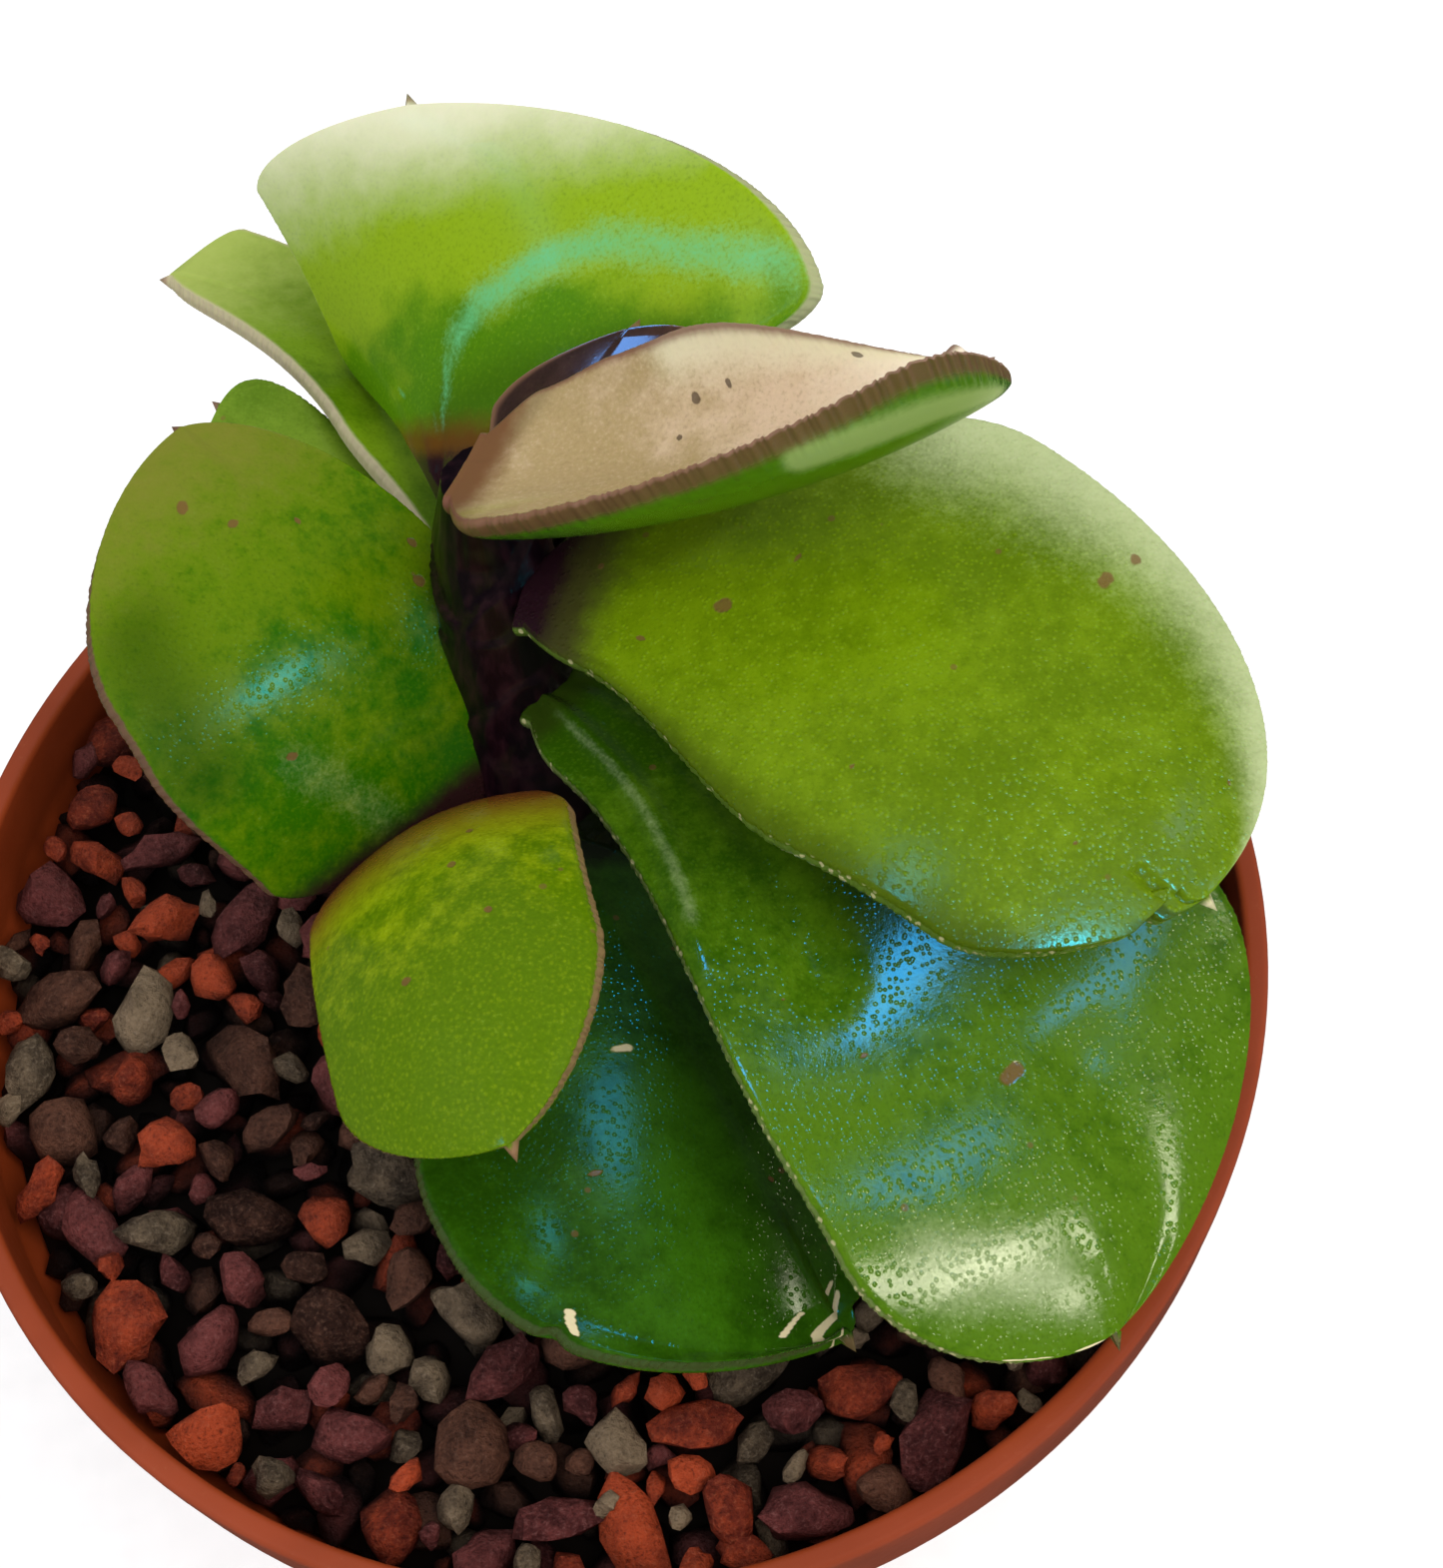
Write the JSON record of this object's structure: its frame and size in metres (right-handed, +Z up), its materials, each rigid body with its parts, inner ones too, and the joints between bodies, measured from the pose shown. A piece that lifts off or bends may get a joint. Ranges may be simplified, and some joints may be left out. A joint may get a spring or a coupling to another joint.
{
  "type": "potted succulent plant",
  "caption": "Small gasteria with broad, thick tongue-shaped leaves on a leaning shoot and a young offset, in a round terracotta-coloured plastic pot filled with lava grit.",
  "frame": {"origin": "middle of the pot's flat underside, on the surface it stands on", "axes": "+Z up; +Y is the direction the picture looks along, so the plant's front low leaf points to -Y and the broad low leaves reach to +X"},
  "size_m": [0.1, 0.1211, 0.1312],
  "materials": {
    "pot": "satin moulded plastic",
    "grit": "rough porous lava stones",
    "stem": "dull papery sheath",
    "leaf_dark": "waxy, softly shining",
    "leaf_green": "waxy, softly shining, fine warts",
    "leaf_tan": "waxy, sun-browned, with a pale margin",
    "leaf_brown": "dark waxy young leaf",
    "leaf_bright": "waxy, softly shining",
    "leaf_offset": "waxy, softly shining"
  },
  "bodies": {
    "root": {"pot": "pot", "grit_bed": "grit", "main_stem": "stem", "offset_stem": "stem", "leaf_front_low": "leaf_dark", "leaf_right_low": "leaf_green", "leaf_right_middle": "leaf_green", "leaf_right_top": "leaf_tan", "leaf_heart": "leaf_brown", "leaf_back_top": "leaf_bright", "leaf_back_middle": "leaf_green", "leaf_back_low": "leaf_green", "offset_leaf_back": "leaf_offset", "offset_leaf_front": "leaf_offset"}
  },
  "joints": []
}
